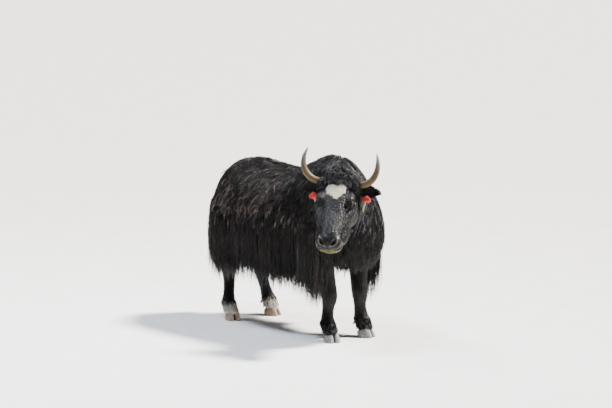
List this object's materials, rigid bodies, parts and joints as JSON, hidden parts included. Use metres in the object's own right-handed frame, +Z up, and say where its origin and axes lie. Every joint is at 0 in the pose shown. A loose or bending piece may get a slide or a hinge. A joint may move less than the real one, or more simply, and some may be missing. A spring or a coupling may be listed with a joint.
{
  "type": "yak model",
  "caption": "Life-size still model of a black domestic yak standing on four hooves, its head turned to its right, with upswept horns and a long fringe of hair.",
  "frame": {"origin": "on the floor, under the middle of the bounding box", "axes": "+Z up, -Y the way the body faces, +X the animal's own left"},
  "size_m": [0.8273, 1.7467, 1.2161],
  "materials": {
    "black_coat": "long black-brown hair over black skin, satin where it lies smooth",
    "horn": "satin horn, pale olive to dark grey-brown at the tips",
    "dark_eye": "wet and glossy",
    "hind_hoof": "dull pinkish horn",
    "fore_hoof": "dull pale grey horn",
    "red_yarn": "bright red wool yarn",
    "pale_yarn": "pale tan cord"
  },
  "bodies": {
    "root": {"ear_left": "black_coat", "ear_right": "black_coat", "eye_left": "dark_eye", "eye_right": "dark_eye", "fore_dewclaw_left_inner": "fore_hoof", "fore_dewclaw_left_outer": "fore_hoof", "fore_dewclaw_right_inner": "fore_hoof", "fore_dewclaw_right_outer": "fore_hoof", "fore_hoof_left_inner": "fore_hoof", "fore_hoof_left_outer": "fore_hoof", "fore_hoof_right_inner": "fore_hoof", "fore_hoof_right_outer": "fore_hoof", "fore_leg_left": "black_coat", "fore_leg_right": "black_coat", "head": "black_coat", "hind_dewclaw_left_inner": "hind_hoof", "hind_dewclaw_left_outer": "hind_hoof", "hind_dewclaw_right_inner": "hind_hoof", "hind_dewclaw_right_outer": "hind_hoof", "hind_hoof_left_inner": "hind_hoof", "hind_hoof_left_outer": "hind_hoof", "hind_hoof_right_inner": "hind_hoof", "hind_hoof_right_outer": "hind_hoof", "hind_leg_left": "black_coat", "hind_leg_right": "black_coat", "horn_left": "horn", "horn_right": "horn", "neck": "black_coat", "tail": "black_coat", "tassel_pale_left": "pale_yarn", "tassel_pale_right": "pale_yarn", "tassel_red_left": "red_yarn", "tassel_red_right": "red_yarn", "torso": "black_coat"}
  },
  "joints": []
}
